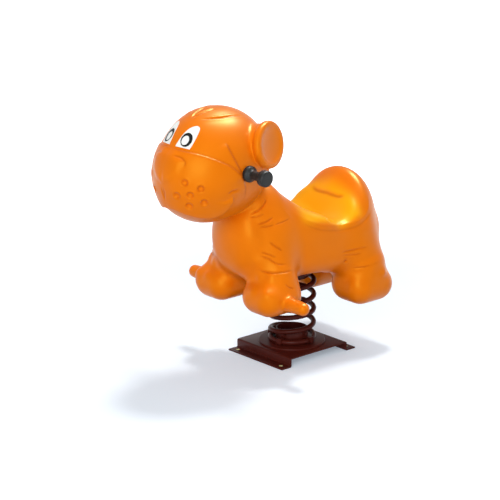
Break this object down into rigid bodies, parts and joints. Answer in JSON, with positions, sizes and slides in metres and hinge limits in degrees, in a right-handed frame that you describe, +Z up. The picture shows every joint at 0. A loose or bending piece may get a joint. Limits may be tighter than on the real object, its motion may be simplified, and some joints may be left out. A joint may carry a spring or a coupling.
{
  "type": "spring rider",
  "caption": "Playground spring rider: hollow moulded animal with a saddle seat, side hand grips and foot pegs, rocking on a coil spring bolted to a folded steel ground plate.",
  "frame": {"origin": "on the ground under the middle of the base plate, in the middle of the four anchor holes", "axes": "+Z up along the spring, -Y the way the animal faces, +X to the animal's left"},
  "size_m": [0.564, 0.8715, 0.877],
  "materials": {
    "moulded_body": "semi-gloss moulded",
    "painted_steel": "gloss powder coat",
    "zinc_steel": "zinc plated",
    "grip_rubber": "satin moulded",
    "eye_white": "gloss film",
    "eye_black": "gloss film"
  },
  "bodies": {
    "base": {"base_plate": "painted_steel", "lower_seat": "painted_steel", "lower_seat_bolts": "zinc_steel", "lower_seat_washers": "zinc_steel", "lower_seat_nuts": "zinc_steel", "lower_clips": "painted_steel", "lower_clip_bolts": "painted_steel", "lower_clip_nuts": "painted_steel"},
    "spring": {"coil_spring": "painted_steel"},
    "rider": {"rider_shell": "moulded_body", "belly_inserts": "zinc_steel", "upper_seat": "painted_steel", "upper_seat_bolts": "zinc_steel", "upper_seat_washers": "zinc_steel", "upper_clips": "painted_steel", "upper_clip_bolts": "painted_steel", "upper_clip_nuts": "painted_steel", "handle_tube": "zinc_steel", "left_grip": "grip_rubber", "right_grip": "grip_rubber", "left_eye_white": "eye_white", "right_eye_white": "eye_white", "left_eye_ring": "eye_black", "right_eye_ring": "eye_black"}
  },
  "joints": [
    {"name": "rock_fore_aft", "type": "hinge", "parent": "base", "child": "spring", "pos_m": [0, 0, 0.166], "axis": [1, 0, 0], "range_deg": [-15, 15], "stiffness_Nm_per_rad": 330, "springref_deg": -2.53, "deforming": ["coil_spring"]},
    {"name": "rock_sideways", "type": "hinge", "parent": "spring", "child": "rider", "pos_m": [0, 0, 0.166], "axis": [0, 1, 0], "range_deg": [-12, 12], "stiffness_Nm_per_rad": 330, "deforming": ["coil_spring"]}
  ]
}
